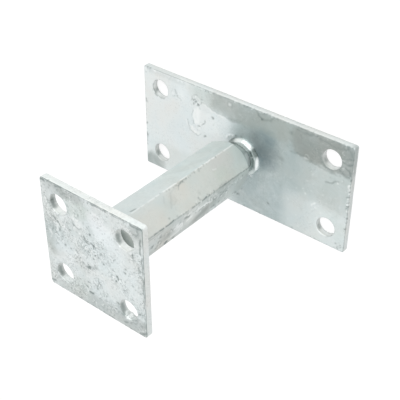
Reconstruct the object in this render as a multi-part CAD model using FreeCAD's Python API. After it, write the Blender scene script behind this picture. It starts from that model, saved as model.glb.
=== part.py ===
"""Timber post base: a hexagonal stem welded between two drilled steel plates.

The long base plate lies on the concrete and the square top plate carries the post.
Frame: origin at the centre of the base plate's underside, +Z up the stem,
+X along the base plate's long side. All lengths are in millimetres, angles in degrees.
"""
import FreeCAD, Part
import math
import os
from FreeCAD import Vector

# Base plate
base_length = 160.0
base_width = 75.0
base_thickness = 4.5
base_hole_diameter = 13.0
base_hole_inset_x = 14.0
base_hole_inset_y = 13.0
base_corner_radius = 1.0

# Top plate
top_length = 75.0
top_width = 75.0
top_thickness = 4.5
top_hole_diameter = 13.0
top_hole_inset_x = 13.0
top_hole_inset_y = 13.5
top_corner_radius = 2.0

# Both plates are sheared from bar and softened by their zinc coat
plate_edge_radius = 0.5
hole_edge_radius = 0.4

# Stem: hexagon bar, turned down to a round neck at its lower end
overall_height = 135.0
stem_across_flats = 30.0
stem_turn = 16.0
stem_corner_radius = 0.8
neck_diameter = 20.0
neck_height = 9.4
neck_root_radius = 1.0
chamfer_circle_diameter = 27.0
chamfer_angle = 45.0

# Weld beads; the lower one is heavier on one side
base_weld_leg = 3.2
base_weld_offset = 2.0
base_weld_heavy_side = 8.0
top_weld_leg = 3.5

# Levels that the pieces share
base_top = base_thickness
shoulder_level = base_top + neck_height
top_plate_underside = overall_height - top_thickness

UP = Vector(0, 0, 1)


def level(z):
    """Point on the stem's axis at height z."""
    return Vector(0, 0, z)


def polar(radius, angle, z):
    """Point at a radius and an angle from +X, at height z."""
    turn = math.radians(angle)
    return Vector(radius * math.cos(turn), radius * math.sin(turn), z)


def edges_where(shape, test):
    """Edges of a shape that pass a test."""
    return [edge for edge in shape.Edges if test(edge)]


def drilled_plate(length, width, thickness, corner_radius, hole_diameter, inset_x, inset_y, underside):
    """Rounded rectangular plate with a hole set in from the two edges at each corner."""
    plate = Part.makeBox(length, width, thickness, Vector(-length / 2, -width / 2, underside))
    uprights = edges_where(plate, lambda edge: edge.BoundBox.ZLength > thickness / 2)
    plate = plate.makeFillet(corner_radius, uprights)
    rims = edges_where(plate, lambda edge: edge.BoundBox.ZLength < thickness / 2)
    plate = plate.makeFillet(plate_edge_radius, rims)

    holes = []
    for side_x in (-1, 1):
        for side_y in (-1, 1):
            foot = Vector(side_x * (length / 2 - inset_x), side_y * (width / 2 - inset_y), underside)
            holes.append(Part.makeCylinder(hole_diameter / 2, thickness, foot, UP))
    plate = plate.cut(Part.makeCompound(holes))

    mouths = edges_where(
        plate,
        lambda edge: edge.isClosed() and abs(edge.BoundBox.XLength - hole_diameter) < hole_edge_radius,
    )
    return plate.makeFillet(hole_edge_radius, mouths)


def hexagon_corners(z):
    """Corner points of the stem's hexagon at height z, in order."""
    corner_distance = stem_across_flats / 2 / math.cos(math.radians(30))
    return [polar(corner_distance, stem_turn + 60 * count, z) for count in range(6)]


def hexagon_prism(bottom, top):
    """Hexagon bar with softened corners between two levels."""
    corners = hexagon_corners(bottom)
    outline = Part.makePolygon(corners + corners[:1])
    prism = Part.Face(outline).extrude(level(top - bottom))
    uprights = edges_where(prism, lambda edge: edge.BoundBox.ZLength > (top - bottom) / 2)
    return prism.makeFillet(stem_corner_radius, uprights)


def turned(profile):
    """Solid of revolution about the stem's axis from (radius, height) points."""
    points = [Vector(radius, 0, z) for radius, z in profile]
    wire = Part.makePolygon(points + points[:1])
    return Part.Face(wire).revolve(Vector(0, 0, 0), UP, 360)


def make_stem():
    """Hexagon bar with a coned shoulder, and the round neck below it."""
    chamfer_radius = chamfer_circle_diameter / 2
    envelope_radius = stem_across_flats
    cone_rise = (envelope_radius - chamfer_radius) * math.tan(math.radians(chamfer_angle))
    envelope = turned([
        (0, shoulder_level),
        (chamfer_radius, shoulder_level),
        (envelope_radius, shoulder_level + cone_rise),
        (envelope_radius, top_plate_underside),
        (0, top_plate_underside),
    ])
    bar = hexagon_prism(shoulder_level, top_plate_underside).common(envelope)
    neck = Part.makeCylinder(neck_diameter / 2, neck_height, level(base_top), UP)
    stem = bar.fuse(neck).removeSplitter()
    root = edges_where(
        stem,
        lambda edge: edge.isClosed()
        and abs(edge.BoundBox.ZMin - shoulder_level) < 0.01
        and edge.BoundBox.XLength < (neck_diameter + chamfer_circle_diameter) / 2,
    )
    return stem.makeFillet(neck_root_radius, root)


def make_base_weld(stem):
    """Round bead at the neck's foot, set off centre so that one side is heavier."""
    foot = level(base_top)
    bead = Part.makeTorus(neck_diameter / 2, base_weld_leg, foot, UP)
    bead.translate(polar(base_weld_offset, base_weld_heavy_side, 0))

    reach = neck_diameter + 2 * base_weld_leg
    above_plate = Part.makeCylinder(reach, reach, foot, UP)
    return bead.common(above_plate).cut(stem)


def make_top_weld(stem):
    """Bead round the hexagon where it meets the top plate's underside."""
    corners = hexagon_corners(top_plate_underside)
    runs = []
    for start, end in zip(corners, corners[1:] + corners[:1]):
        along = end - start
        runs.append(Part.makeCylinder(top_weld_leg, along.Length, start, along))
        runs.append(Part.makeSphere(top_weld_leg, start))
    bead = runs[0].multiFuse(runs[1:])

    reach = stem_across_flats + 2 * top_weld_leg
    below_plate = Part.makeCylinder(reach, reach, level(top_plate_underside), -UP)
    return bead.common(below_plate).cut(stem)


def whole(shape):
    """The single valid solid of a shape."""
    solids = shape.removeSplitter().Solids
    if len(solids) != 1 or not solids[0].isValid():
        raise ValueError("expected one valid solid, found %d" % len(solids))
    return solids[0]


stem = make_stem()
pieces = {
    "base_plate": drilled_plate(
        base_length, base_width, base_thickness, base_corner_radius,
        base_hole_diameter, base_hole_inset_x, base_hole_inset_y, 0,
    ),
    "stem": stem,
    "base_weld": make_base_weld(stem),
    "top_plate": drilled_plate(
        top_length, top_width, top_thickness, top_corner_radius,
        top_hole_diameter, top_hole_inset_x, top_hole_inset_y, top_plate_underside,
    ),
    "top_weld": make_top_weld(stem),
}

os.makedirs("parts", exist_ok=True)
for name, shape in pieces.items():
    solid = whole(shape)
    solid.exportStep("parts/%s.step" % name)
    print("%-11s volume %9.1f mm3, faces %d" % (name, solid.Volume, len(solid.Faces)))
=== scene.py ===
"""Looks for a hot-dip galvanised timber post base: zinc-coated plates, hexagonal bar and weld beads.

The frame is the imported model's: metres, +Z up the stem, +X along the base plate's long side. A number
that is in millimetres is said to be, and MM turns it to metres.
"""

import math
import random

import bmesh
import bpy
import numpy as np
from mathutils import Matrix, Vector, noise
from mathutils.bvhtree import BVHTree


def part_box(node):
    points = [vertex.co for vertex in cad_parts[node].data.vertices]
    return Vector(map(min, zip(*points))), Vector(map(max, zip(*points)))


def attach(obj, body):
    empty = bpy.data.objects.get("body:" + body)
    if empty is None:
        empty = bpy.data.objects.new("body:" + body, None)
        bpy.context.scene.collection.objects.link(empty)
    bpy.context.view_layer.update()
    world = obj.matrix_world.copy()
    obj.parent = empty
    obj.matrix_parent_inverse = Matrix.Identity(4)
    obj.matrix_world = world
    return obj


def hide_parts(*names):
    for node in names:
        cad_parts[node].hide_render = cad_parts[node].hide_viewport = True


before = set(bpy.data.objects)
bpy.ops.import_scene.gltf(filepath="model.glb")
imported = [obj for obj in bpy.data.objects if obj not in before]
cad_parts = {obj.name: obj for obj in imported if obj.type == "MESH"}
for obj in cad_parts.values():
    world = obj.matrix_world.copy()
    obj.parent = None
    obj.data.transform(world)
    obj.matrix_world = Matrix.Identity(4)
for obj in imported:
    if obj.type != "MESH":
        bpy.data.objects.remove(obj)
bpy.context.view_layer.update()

MM = 0.001

# The plates' upper faces, and the hexagon's flats from its axis
BASE_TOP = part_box("base_plate")[1].z
POST_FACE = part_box("top_plate")[1].z
STEM_FLAT = 15 * MM
# The holes and their places in millimetres
HOLE_RADIUS = 6.5
BASE_HOLES = ((-66, -24.5), (-66, 24.5), (66, -24.5), (66, 24.5))
TOP_HOLES = ((-24.5, -24), (-24.5, 24), (24.5, -24), (24.5, 24))


# Colours


def hex_colour(code):
    """An sRGB hex colour as the linear RGBA that the nodes take."""
    channels = [int(code[i : i + 2], 16) / 255 for i in (1, 3, 5)]
    linear = [c / 12.92 if c <= 0.04045 else ((c + 0.055) / 1.055) ** 2.4 for c in channels]
    return (*linear, 1.0)


# Bright drops and skins, dark dross and rims, also the painted highlights and painted shade of some forms,
# the shade of ash, and two faint stains that are multiplied in
ZINC_BRIGHT = "#F0F3F2"
ZINC_DARK = "#76817F"
SHADE = "#8B9492"
STAIN_WARM = "#FFFDFC"
STAIN_BLUE = "#FCFEFF"


# Surface coordinates


def outward(turn):
    """The level direction at an angle in degrees, counted from +X towards +Y."""
    return Vector((math.cos(math.radians(turn)), math.sin(math.radians(turn)), 0))


def on_base(x, y):
    """A point of the base plate's upper face, from millimetres."""
    return Vector((x * MM, y * MM, BASE_TOP))


def on_top(x, y):
    """A point of the square plate's post face, from millimetres."""
    return Vector((x * MM, y * MM, POST_FACE))


def on_stem(face, height, across):
    """A point of the hexagon's face towards an angle in degrees: its height and its place across, in mm."""
    out = outward(face)
    along = Vector((-out.y, out.x, 0))
    return out * STEM_FLAT + along * (across * MM) + Vector((0, 0, height * MM))


def round_stem(direction, radius, height):
    """A point round the stem, at an angle in degrees: its distance from the axis and its height, in mm."""
    return (outward(direction) * radius + Vector((0, 0, height))) * MM


def below(point, depth):
    """A point at a depth in millimetres under another."""
    return point + Vector((0, 0, -depth * MM))


def hole_side(centre, first, last, depth):
    """An arc on a hole's wall, at a depth in millimetres under the face, between two angles in degrees."""
    turns = range(first, last + 1, 15)
    return [below(centre + outward(turn) * (HOLE_RADIUS * MM), depth) for turn in turns]


# The zinc's forms. Each is (path, width, height, shade): a bent line or a single point on the surface, half
# its width and its height in millimetres, and how dark (-1) or bright (+1) it is painted: its zinc, and in
# some forms painted shade and painted highlights.


def blister(place, radius, width, height, shade):
    """A burst blister: a raised rim round a low centre, as a closed ring of short legs."""
    rim = [place + outward(turn) * (radius * MM) for turn in range(0, 361, 30)]
    return (rim, width, height, shade)


def in_holes(face, holes, first, last, depth, width, shade):
    """The same light or dark arc on the wall of every hole of a plate."""
    return [(hole_side(face(x, y), first, last, depth), width, 0.0, shade) for x, y in holes]


def scattered(seed, centre, reach, count, width, height, shade):
    """Pits or grains strewn round a centre, as thick as a burst of zinc ash leaves them."""
    draw = random.Random(seed)
    marks = []
    for _ in range(count):
        shift = Vector((draw.gauss(0, reach[0]), draw.gauss(0, reach[1]), draw.gauss(0, reach[2]))) * MM
        size = draw.uniform(0.6, 1.3)
        marks.append(([centre + shift], width * size, height * size, shade * draw.uniform(0.5, 1.2)))
    return marks


def curls(seed, centre, reach, count, shade, across=Vector((1, 0, 0)), up=Vector((0, 1, 0))):
    """Frozen curls of skin strewn round a centre: uneven dark arcs, each with a bright one inside it."""
    draw = random.Random(seed)
    marks = []
    for _ in range(count):
        middle = centre + (across * draw.gauss(0, reach[0]) + up * draw.gauss(0, reach[1])) * MM
        radius = draw.uniform(0.7, 2.3)
        first = draw.uniform(0, 360)
        sweep = draw.uniform(70, 200)
        strength = shade * draw.uniform(0.6, 1.2)
        wander = [draw.uniform(0.6, 1.5) for _ in range(4)]
        for size, width, height, side in (
            (radius, 0.36, -0.1, -strength),
            (radius - 0.5, 0.45, 0.12, strength),
        ):
            turns = [math.radians(first + sweep * share) for share in (0, 0.33, 0.67, 1)]
            arc = [
                middle + (across * math.cos(turn) + up * math.sin(turn)) * (size * far * MM)
                for turn, far in zip(turns, wander)
            ]
            marks.append((arc, width, height, side))
    return marks


def distance_to(points, path):
    """How far each point is from a bent line, in metres."""
    nearest = np.full(len(points), 1e9)
    for start, end in zip(path, path[1:] or path):
        start = np.array(start)
        leg = np.array(end) - start
        share = np.clip((points - start) @ leg / max(leg @ leg, 1e-12), 0, 1)
        nearest = np.minimum(nearest, np.linalg.norm(points - start - share[:, None] * leg, axis=1))
    return nearest


# Pieces

# Corners of the CAD's triangles nearer than this are one corner
MERGE_DISTANCE = 0.002 * MM
# A form has faded away at this many times its width
FADED = 3
# The noise that tears the forms' outlines: its size in mm, and its seed, which the clock would set otherwise
TEAR_SIZE = 2.5
TEAR_SEED = 5


def even_grid(piece, size):
    """Gives a merged copy of a CAD mesh even faces on the same surface, which can carry the zinc's forms."""
    shape = bmesh.new()
    shape.from_mesh(piece.data)
    bmesh.ops.remove_doubles(shape, verts=shape.verts, dist=MERGE_DISTANCE)
    surface = BVHTree.FromBMesh(shape)
    shape.to_mesh(piece.data)
    shape.free()
    even = piece.modifiers.new("even grid", "REMESH")
    even.mode = "VOXEL"
    even.voxel_size = size * MM
    even.adaptivity = 0.0
    bpy.context.view_layer.update()
    gridded = piece.evaluated_get(bpy.context.evaluated_depsgraph_get())
    piece.data = bpy.data.meshes.new_from_object(gridded)
    piece.modifiers.clear()
    for vertex in piece.data.vertices:
        vertex.co = surface.find_nearest(vertex.co)[0]
    piece.data.update()


def zinc_coat(name, node, grid, waves, forms, tear, seed):
    """A merged copy of a CAD node, moved along its normals by the zinc's waves and forms.

    Grid is the size of its faces and tear is how far the forms' outlines wander, both in mm. Seed shifts the
    noise, so that no two pieces have the same waves.
    """
    piece = bpy.data.objects.new(name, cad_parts[node].data.copy())
    bpy.context.scene.collection.objects.link(piece)
    even_grid(piece, grid)
    mesh = piece.data
    mesh.name = name
    points = np.empty(len(mesh.vertices) * 3)
    mesh.vertices.foreach_get("co", points)
    points = points.reshape(-1, 3)
    normals = np.empty(points.size)
    mesh.vertex_normals.foreach_get("vector", normals)
    normals = normals.reshape(-1, 3)
    start = Vector((seed, 0, 0))
    spots = [Vector(point) + start for point in points]
    height = np.zeros(len(points))
    for size, rise in waves:
        height += rise * np.array([noise.noise(spot / (size * MM)) for spot in spots])
    torn = points + tear * MM * np.array([noise.noise_vector(spot / (TEAR_SIZE * MM)) for spot in spots])
    dross_and_painted_light = np.zeros(len(points))
    for path, width, rise, shade in forms:
        reach = FADED * width * MM
        inside = (torn > np.min(path, axis=0) - reach) & (torn < np.max(path, axis=0) + reach)
        near = np.flatnonzero(inside.all(axis=1))
        weight = np.exp(-((distance_to(torn[near], path) / (width * MM)) ** 2))
        height[near] += rise * weight
        dross_and_painted_light[near] += shade * weight
    points += normals * (height * MM)[:, None]
    # The base plate's waves don't sink it into what it stands on
    points[:, 2] = np.maximum(points[:, 2], 0)
    mesh.vertices.foreach_set("co", points.ravel())
    marks = mesh.attributes.new("dross_and_painted_light", "FLOAT", "POINT")
    marks.data.foreach_set("value", np.clip(dross_and_painted_light, -1, 1))
    mesh.polygons.foreach_set("use_smooth", [True] * len(mesh.polygons))
    mesh.update()
    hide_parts(node)
    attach(piece, "root")
    return piece


# Waves of the coat: size and rise in millimetres
PLATE_WAVES = ((22, 0.10), (6, 0.05), (2.2, 0.025))
BAR_WAVES = ((30, 0.08), (7, 0.03), (2.5, 0.02))
BEAD_WAVES = ((6, 0.12), (2.5, 0.06))

BASE_FORMS = (
    # burst blister and its two hanging runs, left of the stem
    blister(on_base(-35.6, 27.4), 2.6, 0.7, 0.3, 0.5),
    blister(on_base(-35.6, 27.2), 3.8, 0.4, -0.06, -0.3),
    *scattered(55, on_base(-36, 27), (2.2, 2.0, 0.1), 22, 0.45, -0.12, -0.9),
    *scattered(56, on_base(-36, 27), (2.4, 2.2, 0.1), 14, 0.45, 0.14, 0.8),
    *scattered(57, on_base(-37, 6), (3.4, 2.2, 0.1), 16, 0.5, 0.1, 0.6),
    *curls(81, on_base(-36, 26.5), (1.6, 1.6), 7, 0.6),
    *curls(82, on_base(-38, 7), (3, 2.4), 8, 0.5),
    *curls(83, on_base(-51, 26), (2.4, 2.4), 5, 0.4),
    *curls(84, on_base(56, 24), (12, 6), 12, 0.3),
    *curls(85, on_base(74, 25), (3, 7), 9, 0.5),
    *curls(86, on_base(58, -8), (12, 12), 14, 0.25),
    *scattered(87, on_base(72, 37), (7, 0.3, 0.3), 16, 0.5, 0.06, -0.8),
    *scattered(88, on_base(60, -8), (12, 12, 0.1), 22, 0.6, 0.06, 0.28),
    ([on_base(-38.6, 28), on_base(-37.9, 25.8)], 0.6, -0.3, -1.2),
    ([on_base(-36.4, 27.4), on_base(-35, 25.2), on_base(-33.2, 24.4)], 0.5, -0.2, -1.1),
    ([on_base(-33.4, 23.4), on_base(-32.2, 21.8)], 0.5, 0.1, -0.7),
    ([on_base(-36.6, 19), on_base(-37.6, 14.5), on_base(-36, 11.2)], 0.9, 0.3, 0.9),
    ([on_base(-38.4, 19), on_base(-39.6, 15), on_base(-38.4, 10.6)], 0.45, -0.1, -0.5),
    ([on_base(-38.2, 10.3), on_base(-35.4, 8.3), on_base(-32.4, 9), on_base(-30, 12.3)], 0.45, -0.12, -0.55),
    ([on_base(-30, 12.3), on_base(-28.4, 14.2)], 0.45, -0.1, -0.5),
    ([on_base(-34.2, 20), on_base(-34, 14), on_base(-34.6, 11)], 2.0, 0.25, 0.8),
    ([on_base(-43.2, 10.4), on_base(-41.9, 7.6), on_base(-40.8, 4)], 0.45, -0.1, -0.5),
    ([on_base(-40.7, 4), on_base(-38, 2), on_base(-34.2, 1.6), on_base(-31.4, 3.6)], 0.4, -0.1, -0.45),
    ([on_base(-39.6, 6.4), on_base(-37, 3.8), on_base(-34, 3.6)], 1.0, 0.22, 0.9),
    ([on_base(-44.4, 9.6), on_base(-42.8, 6.4)], 0.5, 0.1, 0.6),
    # shallow pool outlines and pits
    ([on_base(-53, 29), on_base(-51.5, 24.5), on_base(-48, 22.8)], 0.6, 0.1, -0.5),
    ([on_base(-48, 28), on_base(-47, 26)], 3.2, 0.12, 0.4),
    ([on_base(-55, 25.5)], 0.8, 0.2, 0.6),
    ([on_base(-54, 24)], 0.7, -0.15, -0.6),
    ([on_base(-22.2, 19.3)], 0.8, -0.3, -1.0),
    ([on_base(-28.3, 3)], 0.7, -0.3, -0.9),
    ([on_base(-28.3, 14.7)], 0.6, -0.2, -0.7),
    # edge of the thick bright zinc under the dull strip
    ([on_base(-30, 26.5), on_base(-24, 24.2), on_base(-17, 23), on_base(-12, 22.6)], 0.5, 0.15, 0.8),
    ([on_base(-9, 22.7), on_base(1, 23.2), on_base(5, 22)], 0.6, 0.1, -0.35),
    ([on_base(-31, 27.3), on_base(-18, 23.9), on_base(-8, 23.6), on_base(1, 24.2)], 0.6, 0.0, -0.3),
    blister(on_base(-8.8, 33.6), 1.8, 0.6, 0.2, -0.4),
    ([on_base(-8.8, 33.6)], 1.2, 0.12, 0.5),
    ([on_base(11.7, 36.4), on_base(13.2, 34), on_base(15.6, 32.4)], 0.7, 0.1, -0.7),
    ([on_base(15.6, 32.4), on_base(21.4, 33.6), on_base(24.8, 36.8)], 0.7, 0.1, -0.5),
    # marks right of the stem
    ([on_base(37.2, 31.4)], 1.3, -0.1, -0.6),
    ([on_base(31, 10.8)], 1.8, -0.05, -0.5),
    ([on_base(31.7, -8.6)], 1.5, -0.05, -0.25),
    ([on_base(23.3, -26.4)], 0.8, -0.25, -0.9),
    ([on_base(23.3, -26.4), on_base(29.4, -30.5)], 0.4, -0.05, -0.35),
    ([on_base(-0.8, -30)], 0.8, -0.25, -1.0),
    ([on_base(2.2, -24.2)], 0.9, -0.1, -0.5),
    ([on_base(50, -7)], 0.6, 0.15, 0.7),
    ([on_base(62, -2.3)], 0.6, 0.2, 0.9),
    ([on_base(63, 7.5), on_base(67, 8.5), on_base(72, 11.4)], 0.6, 0.1, -0.6),
    ([on_base(71.5, 10.5)], 0.7, 0.2, 0.9),
    ([on_base(57, -10), on_base(55, -13)], 0.7, 0.12, 0.6),
    ([on_base(58, -14)], 0.7, 0.12, 0.5),
    # outline of the brownish stain round the right holes
    (
        [on_base(37, 18.5), on_base(49, 19.6), on_base(52, 17.4), on_base(64, 15.4), on_base(72, 15.6)],
        0.7,
        0.04,
        -0.4,
    ),
    blister(on_base(49, 19.2), 1.3, 0.6, 0.1, 0.4),
    ([on_base(41, 35.6), on_base(46, 34.2), on_base(50, 34.8), on_base(55, 36.4)], 0.7, 0.05, -0.45),
    ([on_base(57, 35), on_base(62, 34.6), on_base(68, 33.5), on_base(76, 35.2)], 0.8, 0.05, -0.5),
    ([on_base(73.5, 28.2), on_base(76, 28.4), on_base(80, 30)], 0.55, 0.06, -0.75),
    ([on_base(74, 25.2), on_base(76, 25.0), on_base(79.5, 26.3)], 0.55, 0.06, -0.75),
    ([on_base(75.5, 23), on_base(78, 21), on_base(79, 18)], 0.7, 0.06, -0.8),
    ([on_base(72, 19), on_base(76, 16.4), on_base(80, 16.6)], 1.2, 0.0, -0.6),
    ([on_base(76, 36), on_base(79, 32)], 0.7, 0.05, -0.4),
    ([on_base(58, 25), on_base(60, 19.5), on_base(66, 16.6)], 1.1, 0.0, -0.35),
    ([on_base(-79.5, 13), on_base(-79, 11)], 0.9, -0.1, -0.5),
    # spatter beside the bead
    ([on_base(-10, 10)], 0.9, 0.6, 1.0),
    ([on_base(-8.9, 10.9)], 0.6, 0.5, -0.8),
    ([on_base(-8, 11.5)], 0.8, 0.7, 1.1),
    ([on_base(-6, 12.7)], 0.7, 0.6, 0.9),
    ([on_base(-3.5, 14)], 0.8, 0.3, -0.8),
    ([on_base(0.7, 14.6)], 0.8, 0.3, -0.7),
    ([on_base(9.2, -11.2)], 0.9, 0.5, 0.9),
    *scattered(3, on_base(79.3, -8), (0.5, 15, 0.5), 40, 0.5, 0.14, -1.0),
    *scattered(4, on_base(79.3, -8), (0.5, 15, 0.5), 34, 0.5, 0.14, 1.0),
    *[([on_base(79.9, y)], 0.6, 0.12, -1.1) for y in (15.4, 7.7, 4.8, 0.4, -3.1, -11.3, -15.3)],
    *[([on_base(79.6, y)], 0.6, 0.12, 1.0) for y in (17.2, 12, 9.4, 6.2, 2.6, -1.4, -6.4, -13)],
    *scattered(5, on_base(77.5, -34), (1.3, 1.3, 0.5), 12, 0.5, 0.1, -0.9),
    *scattered(6, on_base(52, -20), (14, 9, 0.2), 12, 0.6, 0.06, 0.35),
    *scattered(7, on_base(30, -10), (30, 16, 0.2), 14, 0.55, -0.06, -0.3),
    *scattered(8, on_base(-50, 0), (16, 18, 0.2), 12, 0.55, -0.05, -0.25),
    # hole walls: painted light, then painted shade on the side away from the light, then painted light again
    *in_holes(on_base, BASE_HOLES, 155, 185, 2.0, 1.6, 0.3),
    *in_holes(on_base, BASE_HOLES, 203, 218, 2.2, 1.3, -0.75),
    *in_holes(on_base, BASE_HOLES, 240, 285, 2.6, 1.3, 0.4),
    # the left hole's walls: more painted light, and painted shade just under its rim and deep down
    (hole_side(on_base(-66, 24.5), 150, 195, 1.4), 1.4, 0.0, 0.55),
    (hole_side(on_base(-66, 24.5), 222, 250, 2.2), 1.1, 0.0, 0.55),
    (hole_side(on_base(-66, 24.5), 195, 300, 0.2), 0.5, 0.0, -0.6),
    (hole_side(on_base(-66, 24.5), 205, 250, 4.2), 0.6, 0.0, -0.8),
    ([on_base(-78.4, 35.6)], 0.6, 0.15, 0.8),
    ([on_base(-78.2, 33.8)], 0.5, -0.1, -0.5),
    ([on_base(-77, 37), on_base(-75, 36.4)], 1.0, 0.0, -0.3),
    # soft grey band under the upper edge
    ([on_base(-73, 35.2), on_base(-60, 35.4), on_base(-46, 35)], 1.7, 0.0, -0.14),
    # broken lines of dross along the rims
    *scattered(51, on_base(0, 36.9), (42, 0.25, 0.2), 64, 0.5, 0.06, -0.6),
    *scattered(52, on_base(0, 36.9), (42, 0.25, 0.2), 40, 0.55, 0.08, 0.5),
    *scattered(53, on_base(34, -37), (24, 0.2, 0.2), 34, 0.5, 0.05, -0.8),
    *scattered(54, on_base(-79.4, 0), (0.2, 18, 0.2), 22, 0.5, 0.05, -0.6),
    ([on_base(-79.4, -14), on_base(-79.2, -20)], 0.6, -0.05, -0.6),
    ([below(on_base(80.2, 20), 2.2), below(on_base(80.2, 37), 2.2)], 2.4, 0.0, -0.55),
    # the right edge a little lighter towards its lower end
    ([below(on_base(80.2, -10), 2.2), below(on_base(80.2, -37), 2.2)], 2.4, 0.0, 0.2),
    # the upper edge: bright under its front rim, then a faint line
    ([below(on_base(-50, 37.6), 1.2), below(on_base(76, 37.6), 1.2)], 0.9, 0.0, 0.25),
    ([below(on_base(-50, 37.6), 3.2), below(on_base(78, 37.6), 3.2)], 0.7, 0.0, -0.14),
    # run and pool under the left hole
    ([on_base(-72.4, 26), on_base(-73, 21.6), on_base(-69, 18.6)], 0.5, 0.08, -0.5),
)
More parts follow.
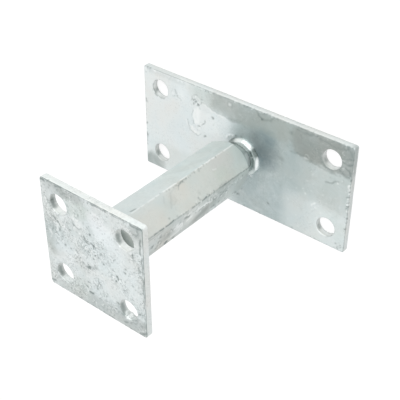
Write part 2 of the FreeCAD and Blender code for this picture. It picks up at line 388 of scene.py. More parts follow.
TOP_FORMS = (
    ([on_top(-1.1, 14.7)], 0.75, -0.35, -1.4),
    ([on_top(-30.2, 14.4), on_top(-28, 13.2), on_top(-26, 12.1)], 0.6, -0.2, -1.0),
    ([on_top(-26, 12.1), on_top(-24.2, 9), on_top(-25.4, 6)], 0.5, -0.12, -0.7),
    ([on_top(-27.6, 10.4), on_top(-26.4, 8), on_top(-27.4, 5)], 0.6, 0.15, 0.7),
    ([on_top(-31.8, 12), on_top(-30, 7.6), on_top(-31.6, 4)], 0.45, -0.1, -0.5),
    ([on_top(-34, 3), on_top(-31.4, 1), on_top(-33, -1.4)], 0.5, 0.12, 0.6),
    ([on_top(-21.7, -2.5)], 0.8, -0.2, -0.9),
    ([on_top(-17.3, -2.5)], 0.7, -0.2, -0.8),
    ([on_top(-7.1, -24)], 0.8, -0.15, -0.8),
    ([on_top(-5.2, -27.8), on_top(-2.6, -27.1)], 0.6, -0.25, -1.2),
    ([on_top(1, -21.7)], 0.7, -0.25, -1.1),
    ([on_top(1, -20.5), on_top(3, -16.5), on_top(2.4, -13.4)], 0.5, 0.1, -0.6),
    ([on_top(3.2, -20), on_top(4.4, -17)], 0.5, -0.1, -0.5),
    ([on_top(17.6, -3.8), on_top(18.2, -5.4)], 0.7, -0.2, -0.9),
    ([on_top(16.7, -7.6)], 0.7, -0.2, -0.9),
    ([on_top(15.4, -5.6)], 0.6, 0.12, 0.6),
    ([on_top(23.3, 1.7)], 0.75, -0.25, -1.2),
    ([on_top(24.4, 4.6)], 0.6, -0.15, -0.8),
    ([on_top(26.2, 1.2)], 0.5, -0.12, -0.6),
    ([on_top(28.7, -4.4)], 0.55, -0.15, -0.9),
    ([on_top(29.4, 17.6), on_top(29.8, 15.6)], 0.6, -0.15, -0.9),
    ([on_top(33.2, 10.2), on_top(34.6, 8.6)], 0.6, -0.12, -0.7),
    ([on_top(8.7, -0.2)], 0.6, -0.15, -0.7),
    ([on_top(11.7, 2.5)], 0.5, -0.15, -0.8),
    ([on_top(-12.9, -2.1), on_top(-12.2, -3.6)], 0.6, -0.15, -0.6),
    ([on_top(-12.9, -4.4)], 0.7, 0.15, 0.8),
    ([on_top(-13.6, 7.2), on_top(-12.2, 3)], 0.45, 0.1, 0.6),
    # dark broken lines just inside the edges
    ([on_top(-37.2, 36), on_top(-34, 36.2)], 0.9, -0.1, -1.0),
    ([on_top(-31, 36.6), on_top(-28, 36.6)], 0.4, -0.05, -0.6),
    ([on_top(-25, 36.4), on_top(-21, 36.6)], 0.6, -0.05, -0.8),
    ([on_top(2, 36.6), on_top(12, 36.6)], 0.5, -0.05, -0.9),
    ([on_top(15, 36.7), on_top(26, 36.7)], 0.4, -0.05, -0.6),
    ([on_top(29, 36.4), on_top(37, 36.4)], 0.7, -0.08, -0.9),
    ([on_top(33.5, 35.5), on_top(34.4, 32.8), on_top(33, 30.8)], 0.8, -0.1, -0.5),
    ([on_top(35.6, 29.5), on_top(35.6, 26)], 0.6, -0.12, -1.0),
    ([on_top(35.4, 24.6), on_top(35.4, 20.6)], 0.6, -0.12, -0.9),
    ([on_top(36.2, 18), on_top(36.3, 7)], 0.5, -0.08, -0.8),
    ([on_top(36.5, 4), on_top(36.5, -16)], 0.5, -0.08, -0.8),
    ([on_top(36.4, -19), on_top(36.4, -30)], 0.4, -0.05, -0.5),
    ([on_top(34, -30.2)], 0.6, -0.15, -1.0),
    ([on_top(31, -27.6)], 0.5, -0.1, -0.6),
    ([on_top(31, -23.6), on_top(35, -21.6)], 0.5, -0.1, -0.6),
    ([on_top(33, -37), on_top(37, -34)], 0.9, -0.05, -0.7),
    ([on_top(21.6, -34.6), on_top(24, -33.2)], 0.6, -0.1, -0.8),
    ([on_top(-36.6, -34.6), on_top(-34, -34.8)], 0.9, -0.1, -0.9),
    # the big ash spot and its green-grey trail
    ([on_top(-5.4, -9.6), on_top(-3, -8.6)], 0.9, -0.15, -1.1),
    ([on_top(-3, -8.4), on_top(2, -6.2)], 1.3, 0.06, -0.45),
    ([on_top(-8.7, -7.9)], 0.7, -0.2, -0.9),
    ([on_top(-8.3, -11.5)], 0.6, -0.15, -0.7),
    ([on_top(-5.6, 10.2)], 0.8, -0.2, -0.8),
    ([on_top(-3.7, 7.9)], 0.8, -0.2, -0.8),
    ([on_top(0.2, 9.2), on_top(1.6, 8.4)], 0.6, -0.2, -0.8),
    ([on_top(-6.7, 4.4)], 0.8, -0.2, -0.9),
    ([on_top(-4.2, 3.2), on_top(-2.4, 1.4)], 0.6, -0.15, -0.6),
    # a pool of thick bright zinc with a thin outline
    ([on_top(-12, 20), on_top(-9.6, 17.6)], 2.4, 0.10, 0.5),
    ([on_top(-14.6, 19), on_top(-13, 15.6), on_top(-9.6, 14.4), on_top(-7, 16.4)], 0.5, -0.1, -0.55),
    ([on_top(-9.4, 24.6), on_top(-9.8, 22.6)], 0.7, -0.1, -0.5),
    *scattered(11, on_top(-3, 7), (5.4, 3.6, 0.1), 60, 0.48, -0.18, -0.8),
    *scattered(12, on_top(-3, 6), (7.0, 4.5, 0.1), 34, 0.50, 0.14, 0.7),
    *scattered(13, on_top(-7, -9), (2.8, 2.4, 0.1), 24, 0.46, -0.18, -0.85),
    *scattered(14, on_top(9, 3), (3.6, 2.8, 0.1), 22, 0.46, -0.14, -0.7),
    *scattered(15, on_top(18, -6), (1.8, 1.6, 0.1), 8, 0.46, -0.12, -0.7),
    *scattered(16, on_top(-22, 20), (9, 10, 0.1), 60, 0.50, -0.12, -0.5),
    *scattered(21, on_top(-22, 34), (9, 1.6, 0.1), 30, 0.50, -0.12, -0.7),
    *scattered(17, on_top(0, 0), (21, 20, 0.1), 60, 0.42, -0.10, -0.52),
    *scattered(18, on_top(0, 0), (21, 20, 0.1), 50, 0.45, 0.10, 0.6),
    *curls(71, on_top(0, 0), (20, 19), 44, 0.58),
    *curls(72, on_top(-29, 8), (3, 6), 12, 0.6),
    *curls(73, on_top(-3, 6), (6, 4), 16, 0.6),
    *curls(74, on_top(-12, 20), (4, 4), 6, 0.5),
    *curls(75, on_top(17, -6), (2, 2), 5, 0.7),
    *curls(76, on_top(3, -18), (2, 3), 6, 0.6),
    *curls(77, on_top(29, 14), (3, 5), 8, 0.6),
    *curls(78, on_top(6, -29), (14, 4), 12, 0.45),
    *scattered(19, on_top(8, -27), (13, 4, 0.1), 44, 0.50, -0.12, -0.55),
    *scattered(20, on_top(28, -30), (4, 4, 0.1), 18, 0.5, -0.12, -0.6),
    *scattered(22, on_top(34.5, -2), (1.2, 16, 0.1), 26, 0.5, -0.1, -0.6),
    # hole walls: painted shade on the side away from the light and just under the rims towards -Y, and
    # painted light on the lower walls; and the worn rims
    *in_holes(on_top, TOP_HOLES, 105, 155, 1.6, 1.5, -0.15),
    *in_holes(on_top, TOP_HOLES, 185, 215, 1.8, 1.8, -0.85),
    *in_holes(on_top, TOP_HOLES, 250, 265, 0.6, 0.9, -0.25),
    *in_holes(on_top, TOP_HOLES, 245, 320, 2.2, 1.5, 0.3),
    *scattered(58, on_top(2, -36.9), (20, 0.2, 0.2), 40, 0.5, 0.05, -0.8),
    # the upper edge a little darker along its left part
    ([below(on_top(-37, 37.6), 2.6), below(on_top(14, 37.6), 2.6)], 1.9, 0.0, -0.1),
    # painted shade deep in a hole's wall
    ([below(on_top(-27.6, -21.6), 4)], 1.6, 0.0, -0.7),
    # frozen drip in a hole, between two dark runs
    ([below(on_top(23, -30.2), 0.9), below(on_top(22.8, -30), 3.4)], 1.4, 1.2, 0.9),
    ([on_top(19.8, -27.4), on_top(20.6, -29.2)], 0.9, -0.1, -0.9),
    ([on_top(26.6, -29.6), on_top(29.6, -27.6)], 0.9, -0.1, -0.9),
)
# Across and up the stem's lower face, which looks towards -14 degrees
LOWER_FACE_ALONG = outward(-14 + 90)
UPWARD = Vector((0, 0, 1))
STEM_FORMS = (
    # bright broken burr along the upper corner, its brightness partly a painted highlight
    ([on_stem(46, 15, 8.5), on_stem(46, 27, 8.5)], 0.45, 0.10, 0.7),
    ([on_stem(46, 29, 8.5), on_stem(46, 34, 8.5)], 0.45, 0.10, 0.7),
    ([on_stem(46, 36, 8.5), on_stem(46, 45, 8.5)], 0.5, 0.12, 0.8),
    ([on_stem(46, 47, 8.5), on_stem(46, 54, 8.4)], 0.45, 0.10, 0.6),
    ([on_stem(46, 62, 8.5), on_stem(46, 68, 8.4)], 0.5, 0.12, 0.7),
    ([on_stem(46, 71, 8.5), on_stem(46, 82, 8.4)], 0.5, 0.12, 0.7),
    ([on_stem(46, 86, 8.5), on_stem(46, 95, 8.4)], 0.45, 0.10, 0.5),
    ([on_stem(46, 98, 8.5), on_stem(46, 108, 8.4)], 0.45, 0.08, 0.4),
    *scattered(31, on_stem(46, 55, 7.4), (0.3, 0.3, 5), 16, 0.45, -0.10, -0.55),
    *scattered(32, on_stem(46, 66, 7.2), (0.4, 0.4, 4), 12, 0.5, -0.10, -0.5),
    ([on_stem(106, 104, -7.5), on_stem(106, 107, -7)], 0.7, -0.12, -0.8),
    # wandering crack and flecks on the middle face
    (
        [on_stem(46, 74, 6.5), on_stem(46, 79, 5.6), on_stem(46, 81, 2), on_stem(46, 83.5, -1.5)],
        0.6,
        0.05,
        -0.14,
    ),
    ([on_stem(46, 84, 6), on_stem(46, 86, 3)], 0.5, 0.05, -0.15),
    ([on_stem(46, 40, 2.2), on_stem(46, 42.5, 2.8)], 0.5, 0.08, 0.4),
    ([on_stem(46, 89, -6)], 0.7, -0.1, -0.6),
    ([on_stem(46, 61, -4.2)], 1.2, 0.05, -0.2),
    # painted highlight along the lower end of the middle face
    ([on_stem(46, 14.5, 4), on_stem(46, 14.5, -3)], 0.6, 0.1, 0.2),
    # painted shade on the cone of the lower end, so that it is no brighter than the faces
    ([round_stem(turn, 13.9, 14.2) for turn in range(15, 91, 15)], 0.9, 0.0, -0.8),
    # dark dross along the lower corner
    ([on_stem(46, 15, -8.5), on_stem(46, 36, -8.5)], 0.4, 0.04, -0.8),
    ([on_stem(46, 37, -8.4), on_stem(46, 44, -8.6)], 0.5, 0.08, -0.9),
    ([on_stem(46, 45, -8.5), on_stem(46, 57, -8.6)], 0.4, 0.06, -0.7),
    ([on_stem(46, 58, -8.2), on_stem(46, 61, -8.4)], 0.6, 0.10, -1.0),
    ([on_stem(46, 62, -8.6), on_stem(46, 71, -8.6)], 0.45, 0.06, -0.8),
    ([on_stem(46, 75, -8.5), on_stem(46, 86, -8.5)], 0.4, 0.05, -0.7),
    ([on_stem(46, 87, -8.3), on_stem(46, 94, -8.5)], 0.5, 0.08, -1.1),
    ([on_stem(46, 96, -8.5), on_stem(46, 104, -8.5)], 0.5, 0.06, -1.0),
    ([on_stem(46, 105, -8.5), on_stem(46, 113, -8.5)], 0.4, 0.05, -0.8),
    *scattered(38, on_stem(46, 60, -7.9), (0.4, 0.3, 18), 40, 0.42, -0.10, -0.6),
    *scattered(39, on_stem(46, 60, -8.6), (0.3, 0.3, 18), 44, 0.42, 0.10, 0.75),
    *scattered(94, on_stem(46, 58, 8.4), (0.3, 0.3, 22), 40, 0.45, -0.08, -0.6),
    *scattered(95, on_stem(46, 70, 7.6), (0.3, 0.3, 6), 22, 0.4, -0.08, -0.5),
    ([on_stem(46, 67, 7.8), on_stem(46, 70.5, 6.4), on_stem(46, 72, 4.8)], 0.4, -0.06, -0.5),
    ([on_stem(46, 73, 7.6), on_stem(46, 70.5, 6.4)], 0.4, -0.06, -0.4),
    # lumps and dross on the lower face
    ([on_stem(-14, 73, 3.2), on_stem(-14, 76, 3.8)], 1.0, 0.12, -0.9),
    ([on_stem(-14, 70, 1), on_stem(-14, 74, 0)], 0.8, 0.15, 0.6),
    ([on_stem(-14, 46, 3), on_stem(-14, 50, 7)], 0.9, 0.12, 0.4),
    ([on_stem(-14, 53, 2.6), on_stem(-14, 60, 3.6), on_stem(-14, 66, 2.4)], 0.7, 0.25, 0.75),
    ([on_stem(-14, 54, 1.6), on_stem(-14, 60, 2.3), on_stem(-14, 66, 1.2)], 0.5, -0.1, -0.5),
    ([on_stem(-14, 72, 5.6), on_stem(-14, 77, 6)], 0.8, 0.15, 0.5),
    ([on_stem(-14, 90.7, -6.6)], 1.3, -0.3, -1.8),
    ([on_stem(-14, 96, 7), on_stem(-14, 108, 6.8)], 0.5, 0.1, -0.4),
    ([on_stem(-14, 80, -4), on_stem(-14, 97, -5)], 1.0, 0.15, 0.4),
    *curls(91, on_stem(-14, 48, 2.5), (3.2, 12), 15, 0.6, LOWER_FACE_ALONG, UPWARD),
    *curls(92, on_stem(-14, 92, 2), (3.6, 10), 14, 0.55, LOWER_FACE_ALONG, UPWARD),
    *curls(93, on_stem(-14, 30, 5), (2, 8), 6, 0.45, LOWER_FACE_ALONG, UPWARD),
    *scattered(61, on_stem(-14, 34, 3), (0.5, 3.2, 9), 40, 0.45, 0.14, 1.0),
    *scattered(62, on_stem(-14, 34, 3), (0.5, 3.2, 9), 34, 0.45, -0.14, -0.8),
    *scattered(63, on_stem(-14, 90, 3), (0.5, 3.6, 10), 40, 0.45, -0.14, -0.8),
    *scattered(33, on_stem(-14, 62, 4), (0.6, 2.8, 14), 46, 0.6, 0.15, -0.65),
    *scattered(34, on_stem(-14, 62, 3), (0.6, 3.0, 15), 34, 0.6, 0.25, 0.75),
    *scattered(40, on_stem(-14, 44, -6), (0.6, 2.4, 9), 30, 0.7, 0.16, -0.8),
    ([on_stem(-14, 56, -2), on_stem(-14, 64, -4)], 2.6, 0.0, -0.5),
    ([on_stem(-14, 79, -1), on_stem(-14, 84, 1)], 2.6, 0.1, 0.5),
    ([on_stem(-14, 87, 0), on_stem(-14, 92, -2)], 2.4, 0.0, -0.35),
    *scattered(35, on_stem(-14, 96, -2), (0.6, 3.4, 7), 26, 0.8, 0.16, -0.9),
    *scattered(36, on_stem(-14, 40, 5), (0.5, 2.4, 10), 16, 0.6, 0.14, 0.55),
)
BEAD_FORMS = (
    ([round_stem(50, 12.8, 6), round_stem(75, 12.6, 6)], 2.6, 0.4, 0.0),
    # the crease between two lobes, with painted shade in it
    ([round_stem(38, 10.5, 8), round_stem(36, 13, 7.2), round_stem(34, 15.4, 5)], 1.2, -0.3, -0.5),
    # a spike where the bead meets the plate, with a painted highlight
    ([round_stem(44, 15.4, 4.9)], 0.5, 0.3, 0.8),
    *scattered(41, round_stem(8, 12.2, 7.4), (0.8, 3.4, 0.4), 22, 0.5, 0.12, -0.5),
    *scattered(42, round_stem(20, 11.6, 7.4), (1.2, 2.6, 0.4), 14, 0.4, 0.1, 0.5),
    *scattered(43, round_stem(62, 12.6, 7), (1.8, 1.8, 0.6), 16, 0.45, -0.15, -1.0),
)

noise.seed_set(TEAR_SEED)
base_plate = zinc_coat("zinc_base_plate", "base_plate", 0.6, PLATE_WAVES, BASE_FORMS, 0.9, 0.11)
top_plate = zinc_coat("zinc_top_plate", "top_plate", 0.42, PLATE_WAVES, TOP_FORMS, 0.6, 0.37)
stem = zinc_coat("zinc_stem", "stem", 0.45, BAR_WAVES, STEM_FORMS, 0.35, 0.53)
base_bead = zinc_coat("zinc_base_bead", "base_weld", 0.35, BEAD_WAVES, BEAD_FORMS, 0.4, 0.71)
top_bead = zinc_coat("zinc_top_bead", "top_weld", 0.35, BEAD_WAVES, (), 0.4, 0.89)


# Materials


def add(owner, kind, settings=None, links=None):
    """A node of a material or world, with its settings (inputs or attributes) and its links (to sockets)."""
    tree = owner.node_tree
    made = tree.nodes.new(kind)
    for key, value in (settings or {}).items():
        if isinstance(key, int) or key in made.inputs:
            made.inputs[key].default_value = value
        else:
            setattr(made, key, value)
    for key, socket in (links or {}).items():
        tree.links.new(made.inputs[key], socket)
    return made


# The setting of a Math or Vector Math node that multiplies its inputs
TIMES = {"operation": "MULTIPLY"}


def new_material(name):
    material = bpy.data.materials.new(name)
    material.use_nodes = True
    material.node_tree.nodes.clear()
    return material


# The rim line starts this far inside a plate's outline, in mm
INSIDE = 2
# Where the skins' noise turns from the dark inside of a swirl to its bright outside
SKIN_LINE = 0.504
# Height of the grain and of the skins' steps
GRAIN_RISE = 0.05 * MM
# A zinc skin is part clean metal and part dull oxide
METAL_SHARE = 0.55


def galvanised(
    name,
    light,
    dark,
    roughness,
    seed,
    grain,
    speckle,
    ash,
    swirl,
    tear,
    patches,
    faces=(),
    edge=None,
    painted_light_edge=None,
    half=None,
    rim=1.0,
):
    """Hot-dip galvanised steel: zinc frozen in soft clouds, with swirling skins, ash and torn patches.

    Light and dark are the clouds' colours, roughness is that of the middle clouds, and seed shifts the
    pattern in metres. Grain, speckle, ash and swirl are strengths, and tear is how far the patches' outlines
    wander in mm. A patch is (centre, half sizes in mm, turn in degrees, softness, colour, strength). A face
    is (direction in degrees, colour, strength). For a plate, edge is the colour of its sheared sides and
    painted light edge the lighter colour of the one towards +Y, painted light on the side that faces the
    lamp; half is its half sizes in mm, and rim is the strength of the dark line where its face turns into
    its sides.
    """
    material = new_material(name)
    place = add(material, "ShaderNodeTexCoord").outputs["Object"]
    moved = add(material, "ShaderNodeMapping", {"Location": (seed, 0, 0)}, {"Vector": place}).outputs[0]
    normal = add(material, "ShaderNodeNewGeometry").outputs["Normal"]
    # Each layer is (where it shows, its colour, how it is blended over the ones before)
    layers = []

    # Clouds: crystals of the zinc skin, some 9 mm across
    cloud = add(
        material,
        "ShaderNodeTexNoise",
        {"Scale": 1 / (9 * MM), "Detail": 6.0, "Roughness": 0.6, "Distortion": 0.6},
        {"Vector": moved},
    ).outputs["Fac"]
    tone = add(
        material,
        "ShaderNodeMapRange",
        {"From Min": 0.32, "From Max": 0.68, "interpolation_type": "SMOOTHSTEP"},
        {"Value": cloud},
    )
    layers.append((tone.outputs[0], dark, "MIX"))

    # Whole faces of the bar: a tint, and painted shade on the faces turned from the light
    for turn, face_colour, strength in faces:
        facing = add(
            material,
            "ShaderNodeVectorMath",
            {"operation": "DOT_PRODUCT", 1: outward(turn)},
            {0: normal},
        )
        share = add(
            material,
            "ShaderNodeMapRange",
            {"From Min": 0.88, "From Max": 0.93, "To Max": strength},
            {"Value": facing.outputs["Value"]},
        )
        layers.append((share.outputs[0], face_colour, "MIX"))

    # Patches of thicker, thinner or stained zinc, and of painted shade, light, highlights and reflections,
    # with edges torn by noise
    ragged = add(
        material,
        "ShaderNodeTexNoise",
        {"Scale": 1 / (5 * MM), "Detail": 4.0, "Roughness": 0.6},
        {"Vector": moved},
    )
    shift = add(
        material,
        "ShaderNodeVectorMath",
        {"operation": "MULTIPLY_ADD", 1: (tear * MM,) * 3, 2: (-tear / 2 * MM,) * 3},
        {0: ragged.outputs["Color"]},
    )
    torn = add(material, "ShaderNodeVectorMath", links={0: place, 1: shift.outputs[0]}).outputs[0]
    uneven = add(
        material,
        "ShaderNodeMapRange",
        {"From Min": 0.30, "From Max": 0.62, "To Min": 0.7, "To Max": 1.0},
        {"Value": cloud},
    ).outputs[0]
    for centre, reach, turn, softness, patch_colour, strength in patches:
        local = add(
            material,
            "ShaderNodeMapping",
            {
                "vector_type": "TEXTURE",
                "Location": tuple(centre),
                "Rotation": (0, 0, math.radians(turn)),
                "Scale": tuple(size * MM for size in reach),
            },
            {"Vector": torn},
        )
        squared = add(material, "ShaderNodeVectorMath", TIMES, {0: local.outputs[0], 1: local.outputs[0]})
        far = add(material, "ShaderNodeVectorMath", {"operation": "LENGTH"}, {0: squared.outputs[0]})
        inside = add(
            material,
            "ShaderNodeMapRange",
            {
                "From Min": (1.0 + softness) ** 2,
                "From Max": (1.0 - softness) ** 2,
                "To Max": strength,
                "interpolation_type": "SMOOTHSTEP",
            },
            {"Value": far.outputs["Value"]},
        )
        share = add(material, "ShaderNodeMath", TIMES, {0: inside.outputs[0], 1: uneven})
        layers.append((share.outputs[0], patch_colour, "MIX"))

    # Sheared edges and hole walls, laid over the patches of the faces, then painted light on the sides
    # towards +Y
    upright = add(material, "ShaderNodeSeparateXYZ", links={0: normal}).outputs[2]
    if edge:
        level = add(material, "ShaderNodeMath", {"operation": "ABSOLUTE"}, {0: upright}).outputs[0]
        share = add(material, "ShaderNodeMapRange", {"From Min": 0.75, "From Max": 0.45}, {"Value": level})
        layers.append((share.outputs[0], edge, "MIX"))
        facing = add(
            material,
            "ShaderNodeVectorMath",
            {"operation": "DOT_PRODUCT", 1: (0, 1, 0)},
            {0: normal},
        )
        share = add(
            material,
            "ShaderNodeMapRange",
            {"From Min": 0.55, "From Max": 0.85},
            {"Value": facing.outputs["Value"]},
        )
        layers.append((share.outputs[0], painted_light_edge, "MIX"))

    # Faint stains some 16 mm across, where the zinc is a little warmer or bluer
    stain = add(
        material,
        "ShaderNodeTexNoise",
        {"Scale": 1 / (16 * MM), "Detail": 3.0, "Roughness": 0.5},
        {"Vector": moved},
    ).outputs["Fac"]
    for low, high, stain_colour in ((0.49, 0.38, STAIN_WARM), (0.51, 0.62, STAIN_BLUE)):
        share = add(material, "ShaderNodeMapRange", {"From Min": low, "From Max": high}, {"Value": stain})
        layers.append((share.outputs[0], stain_colour, "MULTIPLY"))

    # Swirls: outlines of frozen skin, some 4.5 mm across, where a distorted noise crosses its middle: dark
    # inside and bright outside, thick in places and gone elsewhere
    skin = add(
        material,
        "ShaderNodeTexNoise",
        {"Scale": 1 / (4.5 * MM), "Detail": 3.0, "Roughness": 0.55, "Distortion": 1.6},
        {"Vector": moved},
    ).outputs["Fac"]
    thick = add(
        material,
        "ShaderNodeTexNoise",
        {"Scale": 1 / (12 * MM), "Detail": 2.0},
        {"Vector": moved},
    ).outputs["Fac"]
    gathered = add(
        material,
        "ShaderNodeMapRange",
        {"From Min": 0.40, "From Max": 0.60, "To Min": 0.15, "interpolation_type": "SMOOTHSTEP"},
        {"Value": thick},
    ).outputs[0]
    if edge:
        flat = add(
            material,
            "ShaderNodeMapRange",
            {"From Min": 0.45, "From Max": 0.75, "To Min": 0.3},
            {"Value": level},
        )
        gathered = add(material, "ShaderNodeMath", TIMES, {0: gathered, 1: flat.outputs[0]}).outputs[0]
    for low, high, side, mark, blend in (
        (0.475, 0.502, "LESS_THAN", SHADE, "MULTIPLY"),
        (0.530, SKIN_LINE, "GREATER_THAN", ZINC_BRIGHT, "MIX"),
    ):
        rise = add(
            material,
            "ShaderNodeMapRange",
            {"From Min": low, "From Max": high, "To Max": swirl, "interpolation_type": "SMOOTHSTEP"},
            {"Value": skin},
        )
        beside = add(material, "ShaderNodeMath", {"operation": side, 1: SKIN_LINE}, {0: skin})
        share = add(material, "ShaderNodeMath", TIMES, {0: rise.outputs[0], 1: beside.outputs[0]})
        share = add(material, "ShaderNodeMath", TIMES, {0: share.outputs[0], 1: gathered})
        layers.append((share.outputs[0], mark, blend))

    # Fine speckle of frozen drops, about 1.6 mm
    fine = add(
        material,
        "ShaderNodeTexNoise",
        {"Scale": 1 / (1.6 * MM), "Detail": 2.0, "Roughness": 0.6},
        {"Vector": moved},
    )
    for low, high, mark, blend in ((0.44, 0.30, SHADE, "MULTIPLY"), (0.54, 0.70, ZINC_BRIGHT, "MIX")):
        rise = add(
            material,
            "ShaderNodeMapRange",
            {"From Min": low, "From Max": high, "To Max": speckle},
            {"Value": fine.outputs["Fac"]},
        )
        share = add(material, "ShaderNodeMath", TIMES, {0: rise.outputs[0], 1: gathered})
        layers.append((share.outputs[0], mark, blend))

    # Ash: crisp ragged specks of half a millimetre in cells of 2 mm, strewn as thick as the swirls
    jagged = add(
        material,
        "ShaderNodeVectorMath",
        {"operation": "MULTIPLY_ADD", 1: (1.2 * MM,) * 3},
        {0: fine.outputs["Color"], 2: moved},
    )
    cells = add(
        material,
        "ShaderNodeTexVoronoi",
        {"Scale": 1 / (2.0 * MM)},
        {"Vector": jagged.outputs[0]},
    )
    speck = add(
        material,
        "ShaderNodeMapRange",
        {"From Min": 0.32, "From Max": 0.20, "To Max": ash},
        {"Value": cells.outputs["Distance"]},
    )
    drawn = add(material, "ShaderNodeSeparateColor", links={0: cells.outputs["Color"]})
    kept = add(material, "ShaderNodeMath", {"operation": "LESS_THAN"}, {0: drawn.outputs[0], 1: gathered})
    share = add(material, "ShaderNodeMath", TIMES, {0: speck.outputs[0], 1: kept.outputs[0]})
    layers.append((share.outputs[0], SHADE, "MULTIPLY"))

    # Dark dross and bright drops that the mesh's forms carry, and the painted shade and painted highlights
    # of some forms
    dross_and_painted_light = add(material, "ShaderNodeAttribute", {"attribute_name": "dross_and_painted_light"}).outputs["Fac"]
    for reach, mark in ((-1.0, ZINC_DARK), (1.0, ZINC_BRIGHT)):
        share = add(material, "ShaderNodeMapRange", {"From Max": reach, "To Max": 0.9}, {"Value": dross_and_painted_light})
        layers.append((share.outputs[0], mark, "MIX"))

    # A broken dark line where a plate's upper face turns into its outer edge
    if edge:
        rising = add(material, "ShaderNodeMapRange", {"From Min": 0.35, "From Max": 0.6}, {"Value": upright})
        falling = add(
            material,
            "ShaderNodeMapRange",
            {"From Min": 0.985, "From Max": 0.90},
            {"Value": upright},
        )
        line = add(material, "ShaderNodeMath", TIMES, {0: rising.outputs[0], 1: falling.outputs[0]})
        broken = add(
            material,
            "ShaderNodeMapRange",
            {"From Min": 0.3, "From Max": 0.55, "To Max": rim},
            {"Value": cloud},
        )
        share = add(material, "ShaderNodeMath", TIMES, {0: line.outputs[0], 1: broken.outputs[0]})
        side = add(material, "ShaderNodeVectorMath", {"operation": "ABSOLUTE"}, {0: place})
        side = add(
            material,
            "ShaderNodeVectorMath",
            {"operation": "SUBTRACT", 1: ((half[0] - INSIDE) * MM, (half[1] - INSIDE) * MM, 1)},
            {0: side.outputs[0]},
        )
        side = add(material, "ShaderNodeSeparateXYZ", links={0: side.outputs[0]})
        outer = add(
            material,
            "ShaderNodeMath",
            {"operation": "MAXIMUM"},
            {0: side.outputs[0], 1: side.outputs[1]},
        )
        outer = add(material, "ShaderNodeMath", {"operation": "GREATER_THAN", 1: 0.0}, {0: outer.outputs[0]})
        share = add(material, "ShaderNodeMath", TIMES, {0: share.outputs[0], 1: outer.outputs[0]})
        layers.append((share.outputs[0], ZINC_DARK, "MIX"))

    colour = None
    for share, layer_colour, blend in layers:
        mixed = add(
            material,
            "ShaderNodeMix",
            {"data_type": "RGBA", "blend_type": blend, 6: hex_colour(light), 7: hex_colour(layer_colour)},
            {0: share},
        )
        if colour:
            material.node_tree.links.new(mixed.inputs[6], colour)
        colour = mixed.outputs[2]

    # Satin shine that changes with the clouds, over a grain of 1.1 mm and the low steps of the skins
    matt = add(
        material,
        "ShaderNodeMapRange",
        {"From Min": 0.3, "From Max": 0.7, "To Min": roughness - 0.07, "To Max": roughness + 0.09},
        {"Value": cloud},
    )
    sandy = add(
        material,
        "ShaderNodeTexNoise",
        {"Scale": 1 / (1.1 * MM), "Detail": 3.0, "Roughness": 0.55},
        {"Vector": moved},
    )
    step = add(
        material,
        "ShaderNodeMapRange",
        {"From Min": 0.47, "From Max": 0.515, "To Max": 5.0 * swirl},
        {"Value": skin},
    )
    height = add(
        material,
        "ShaderNodeMath",
        {"operation": "ADD"},
        {0: sandy.outputs["Fac"], 1: step.outputs[0]},
    )
    relief = add(
        material,
        "ShaderNodeBump",
        {"Strength": grain, "Distance": GRAIN_RISE},
        {"Height": height.outputs[0]},
    )
    zinc = add(
        material,
        "ShaderNodeBsdfPrincipled",
        {"Metallic": METAL_SHARE},
        {"Base Color": colour, "Roughness": matt.outputs[0], "Normal": relief.outputs[0]},
    )
    add(material, "ShaderNodeOutputMaterial", links={"Surface": zinc.outputs[0]})
    return material


# Half height in mm of a plate's patches: they reach right through it
COLUMN = 60
BASE_PATCHES = [
    (on_base(x, y), (long, wide, COLUMN), turn, softness, colour, strength)
    for x, y, long, wide, turn, softness, colour, strength in (
        # painted reflection of the light, pale over the left third
        (-46, 0, 40, 50, 0, 0.12, "#E1E7E7", 0.9),
        (-69, 20, 15, 24, 0, 0.4, "#E0E3E1", 0.7),
        # painted reflection of the stem, darker right of it
        (24, -5, 29, 50, 0, 0.30, "#A9B5B5", 0.95),
        (60, 3, 28, 13, 0, 0.4, "#B5BFBD", 0.8),
        (36, 4, 8, 10, 0, 0.5, "#A7B2B1", 0.5),
        (53, -25, 17, 15, 0, 0.4, "#D4DBDA", 0.65),
        (-27, 14, 10, 7, 0, 0.3, "#EEF2F1", 0.4),
        (-50, -27, 22, 10, 0, 0.4, "#CFD7D5", 0.7),
        (-26, 34, 13, 7, -8, 0.4, "#C9D1CD", 0.8),
        (9, 33.5, 33, 10, 0, 0.2, "#A6AEAB", 0.9),
        (60, 28, 22, 11, -3, 0.10, "#9AA19E", 0.95),
        (54, 24, 9, 6, 0, 0.5, "#919995", 0.6),
        # painted shade and reflection of the stem, beside the bead
        (18, 12, 9, 11, 0, 0.5, "#748388", 0.72),
        (-78, -37, 12, 8, 12, 0.4, "#969F9C", 0.85),
        (74, 33, 7, 6, 0, 0.5, "#8C9491", 0.4),
    )
]
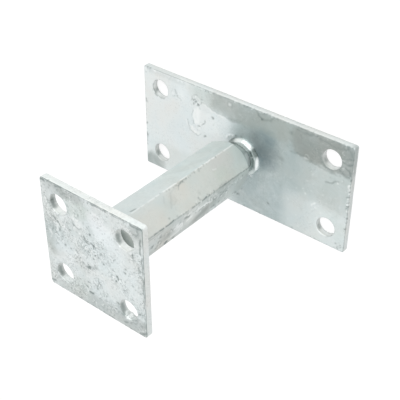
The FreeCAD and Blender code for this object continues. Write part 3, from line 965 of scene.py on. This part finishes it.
TOP_PATCHES = [
    (on_top(x, y), (long, wide, COLUMN), turn, softness, colour, strength)
    for x, y, long, wide, turn, softness, colour, strength in (
        (10, 20, 7, 6, 0, 0.5, "#EEF2F3", 0.6),
        (31, -33, 8, 6, 0, 0.5, "#9CA3A1", 0.6),
        (8, -34, 34, 6, 0, 0.5, "#B3B9B7", 0.9),
        (-15, -28, 9, 6, 0, 0.5, "#C3CAC6", 0.8),
        (-30, -9, 5, 4, 20, 0.5, "#ADB5B2", 0.8),
        (-20, 34, 13, 3.5, 0, 0.5, "#A4AAA7", 0.8),
        (34, 33, 5, 5, 0, 0.5, "#959D9A", 0.45),
        (-9, 27, 8, 5, 10, 0.4, "#C2CCC7", 0.7),
        (-34, 1, 5, 9, 0, 0.5, "#B5BDBB", 0.8),
        (-23, -9, 7, 6, 0, 0.5, "#DBE1E2", 0.7),
        (-30, 30, 6, 5, 0, 0.5, "#CFD4D3", 0.6),
        (15, -7, 18, 10, 25, 0.4, "#D8DFDF", 0.7),
        (17, 13, 6, 9, 0, 0.4, "#DDE2E2", 0.7),
        (4, 26, 6, 5, 0, 0.4, "#E3E6E7", 0.7),
    )
]
# the middle face's warmer tint, and painted shade on the faces turned from the light
STEM_FACES = ((46, "#C9CDC8", 0.9), (-14, "#BBC1BE", 0.85), (-74, "#BCC4C2", 0.85))
STEM_PATCHES = (
    *[
        (on_stem(face, height, across), reach, face, softness, colour, strength)
        for face, height, across, reach, softness, colour, strength in (
            # painted light, lifting the shade low on the faces near the base plate
            (-14, 28, -2, (5, 9, 26), 0.4, "#C6D0CF", 0.9),
            (-14, 45, 2, (5, 6, 7), 0.4, "#A0A9A5", 0.8),
            (-14, 61, -4, (4, 5, 8), 0.4, "#A6AAA5", 0.7),
            (-14, 104, 2, (4, 6, 7), 0.4, "#CCD1CF", 0.8),
            (-14, 93, -2, (4, 6, 6), 0.5, "#BAB8B0", 0.5),
            (-14, 68, 2, (4, 5, 6), 0.5, "#DBE0DD", 0.65),
            (-14, 82, 2, (4, 6, 6), 0.4, "#C6CBC9", 0.7),
            # painted light, lifting the shade low on the face near the base plate
            (46, 12, -1, (5, 9, 16), 0.5, "#D0DBD8", 0.8),
            (46, 74, 3, (4, 5, 7), 0.4, "#CFCEC7", 0.45),
            (46, 82, 2.5, (4, 3.8, 5), 0.25, "#BCBEB8", 0.55),
            (46, 33, 4, (4, 5, 9), 0.4, "#CECBC8", 0.35),
            (46, 39, -2, (4, 4, 5), 0.4, "#C6CEC3", 0.35),
            (46, 88, 2, (4, 6, 6), 0.4, "#C5CBC7", 0.7),
            (46, 100, -2, (4, 8, 8), 0.4, "#CDCDC7", 0.45),
            (106, 100, 0, (5, 10, 22), 0.5, "#C9D1D0", 0.8),
        )
    ],
    # pale neck, painted light that lifts it out of the shade under the bar's end, greyer on its side towards
    # +Y
    (Vector((0, 0, 4.5 * MM)), (11.5, 11.5, 6), 0, 0.03, "#D6DEDC", 1.3),
    (round_stem(78, 11, 8), (5, 6, 6), 78, 0.2, "#A5AFAC", 1.3),
    # painted shade close under the square plate, darkest at the very end
    (Vector((0, 0, 134 * MM)), (30, 30, 17), 0, 0.22, "#8F9894", 1.1),
    (Vector((0, 0, 134 * MM)), (30, 30, 12), 0, 0.3, "#4C5653", 1.1),
)
BEAD_PATCHES = (
    # darker at its end towards +Y, then painted light on its lower end and painted shade inside it and in
    # the crease between its lobes
    (round_stem(108, 12.6, 6.2), (3.6, 4.4, 3.6), 108, 0.3, "#848E8B", 1.3),
    (round_stem(-45, 12.5, 5.5), (4, 5, 3), -45, 0.4, "#CBD3D1", 1.3),
    (round_stem(14, 11.8, 7.2), (2.0, 5.0, 3), 14, 0.5, "#98A3A0", 1.2),
    (round_stem(32, 15, 5.4), (3.2, 2.6, 3), 32, 0.4, "#77827F", 1.3),
    # painted highlights: the white glint on its top and the bright lens on its outer side
    (round_stem(74, 12.6, 6.5), (3.4, 5.8, 3.6), 74, 0.4, "#EBF1EF", 1.3),
    (round_stem(-2, 14.9, 5.6), (1.1, 4.8, 1.8), -2, 0.4, "#F4F8F7", 1.3),
)

# Smooth satin zinc: long soft clouds, pale where it froze thick and in dull strips where it drained, with a
# painted reflection of the light on its left third and the stem's painted shade and reflection beside it
base_zinc = galvanised(
    "hot-dip galvanised flat bar",
    "#D5DCDC",
    "#CBD4D2",
    roughness=0.40,
    seed=0.013,
    grain=0.25,
    speckle=0.10,
    ash=0.07,
    swirl=0.14,
    tear=6,
    patches=BASE_PATCHES,
    edge="#C2C7C5",
    painted_light_edge="#D1D6D4",
    half=(80, 37.5),
    rim=0.5,
)
# Zinc that froze last: its satin is broken by curls, grains and ash, so it looks crackled and bright
top_zinc = galvanised(
    "hot-dip galvanised square plate",
    "#D7DDDD",
    "#CCD3D2",
    roughness=0.44,
    seed=0.033,
    grain=0.6,
    speckle=0.4,
    ash=0.28,
    swirl=1.0,
    tear=6,
    patches=TOP_PATCHES,
    edge="#D6DAD8",
    painted_light_edge="#E3E8E6",
    half=(37.5, 37.5),
)
# Thin zinc on drawn bar: nearly plain faces with a soft sheen, a little warmer than the plates
bar_zinc = galvanised(
    "hot-dip galvanised hexagon bar",
    "#CFD8D6",
    "#C5CFCD",
    roughness=0.45,
    seed=0.027,
    grain=0.12,
    speckle=0.07,
    ash=0.05,
    swirl=0.08,
    tear=3,
    patches=STEM_PATCHES,
    faces=STEM_FACES,
)
# Thick zinc over a weld's ripples: the shiniest place, with painted white highlights between painted shade
# and dark reflections
bead_zinc = galvanised(
    "hot-dip galvanised weld bead",
    "#B8C1BF",
    "#A9B3B1",
    roughness=0.26,
    seed=0.041,
    grain=0.35,
    speckle=0.1,
    ash=0.2,
    swirl=0.1,
    tear=1,
    patches=BEAD_PATCHES,
)

for piece, material, slot in (
    (base_plate, base_zinc, "galvanised_plate"),
    (top_plate, top_zinc, "galvanised_plate"),
    (stem, bar_zinc, "galvanised_bar"),
    (base_bead, bead_zinc, "galvanised_weld"),
    (top_bead, bead_zinc, "galvanised_weld"),
):
    piece.data.materials.clear()
    piece.data.materials.append(material)


# Floor, world and lamps

# The floor lies a little under the plate, so that the two don't share a plane
FLOOR_DROP = 0.2 * MM
FLOOR_HALF = 3.0
# Where the floor is seen it is white mostly by its own light, and the share that is lit keeps the shadow.
# The light it throws on dull surfaces is that of a plain pale floor
FLOOR_LIT = 0.30
FLOOR_OWN = 0.74
FLOOR_PLAIN = 0.8
# The world's strength where it is seen, and as light on dull surfaces
WORLD_SEEN = 1.0
WORLD_ON_OBJECT = 0.85
STEM_MIDDLE = Vector((0, 0, 0.07))


def where_seen(owner):
    """A socket that is 1 where a floor or world is seen, mirrored or looked through to, and 0 as a light."""
    path = add(owner, "ShaderNodeLightPath")
    direct = add(
        owner,
        "ShaderNodeMath",
        {"operation": "MAXIMUM"},
        {0: path.outputs["Is Camera Ray"], 1: path.outputs["Is Glossy Ray"]},
    )
    direct = add(
        owner,
        "ShaderNodeMath",
        {"operation": "MAXIMUM"},
        {0: direct.outputs[0], 1: path.outputs["Is Transmission Ray"]},
    )
    return direct.outputs[0]


def white_floor():
    """A white studio floor that keeps a faint shadow."""
    shape = bmesh.new()
    bmesh.ops.create_grid(shape, x_segments=1, y_segments=1, size=FLOOR_HALF)
    mesh = bpy.data.meshes.new("floor")
    shape.to_mesh(mesh)
    shape.free()
    floor = bpy.data.objects.new("floor", mesh)
    bpy.context.scene.collection.objects.link(floor)
    floor.location.z = -FLOOR_DROP
    material = new_material("matt white studio floor")
    lit = add(material, "ShaderNodeBsdfDiffuse", {"Color": (FLOOR_LIT, FLOOR_LIT, FLOOR_LIT, 1)})
    own = add(material, "ShaderNodeEmission", {"Strength": FLOOR_OWN})
    seen = add(material, "ShaderNodeAddShader", links={0: lit.outputs[0], 1: own.outputs[0]})
    plain = add(material, "ShaderNodeBsdfDiffuse", {"Color": (FLOOR_PLAIN, FLOOR_PLAIN, FLOOR_PLAIN, 1)})
    shader = add(
        material,
        "ShaderNodeMixShader",
        links={0: where_seen(material), 1: plain.outputs[0], 2: seen.outputs[0]},
    )
    add(material, "ShaderNodeOutputMaterial", links={"Surface": shader.outputs[0]})
    mesh.materials.append(material)


def white_world():
    """An even white surround, a little weaker as a light on dull surfaces than where it is seen."""
    world = bpy.data.worlds.new("white studio")
    world.use_nodes = True
    world.node_tree.nodes.clear()
    bpy.context.scene.world = world
    strength = add(
        world,
        "ShaderNodeMapRange",
        {"To Min": WORLD_ON_OBJECT, "To Max": WORLD_SEEN},
        {"Value": where_seen(world)},
    )
    background = add(
        world,
        "ShaderNodeBackground",
        {"Color": (1, 1, 1, 1)},
        {"Strength": strength.outputs[0]},
    )
    add(world, "ShaderNodeOutputWorld", links={"Surface": background.outputs[0]})


def soft_lamp(name, place, size, power):
    """A square lamp that faces the stem's middle: its place and side in metres, its power in watts."""
    data = bpy.data.lights.new(name, "AREA")
    data.shape = "SQUARE"
    data.size = size
    data.energy = power
    lamp = bpy.data.objects.new(name, data)
    bpy.context.scene.collection.objects.link(lamp)
    lamp.location = place
    lamp.rotation_euler = (Vector(place) - STEM_MIDDLE).to_track_quat("Z", "Y").to_euler()


white_floor()
white_world()
soft_lamp("key", place=(0.05, 1.0, 0.55), size=1.2, power=5.9)
soft_lamp("fill", place=(0.35, 0.1, 0.95), size=0.8, power=2.6)


# Camera, solved from the plates' edges: the photograph's up is nearly the base plate's short side. Its axes
# are in the object's frame, its place in metres, and its lens and film width in mm

CAMERA_PLACE = (0.28235, 0.30945, 0.38861)
CAMERA_RIGHT = (0.77320, 0.00026, -0.63416)
CAMERA_UP = (-0.37149, 0.81064, -0.45262)
CAMERA_BACK = (0.51396, 0.58555, 0.62688)
CAMERA_LENS = 80.957
CAMERA_FILM = 36.0

camera_data = bpy.data.cameras.new("camera")
camera_data.lens = CAMERA_LENS
camera_data.sensor_width = CAMERA_FILM
camera_data.clip_start = 0.01
camera = bpy.data.objects.new("camera", camera_data)
bpy.context.scene.collection.objects.link(camera)
axes = Matrix((CAMERA_RIGHT, CAMERA_UP, CAMERA_BACK)).transposed()
camera.matrix_world = Matrix.Translation(CAMERA_PLACE) @ axes.to_4x4()
bpy.context.scene.camera = camera

bpy.context.scene.view_settings.view_transform = "Standard"
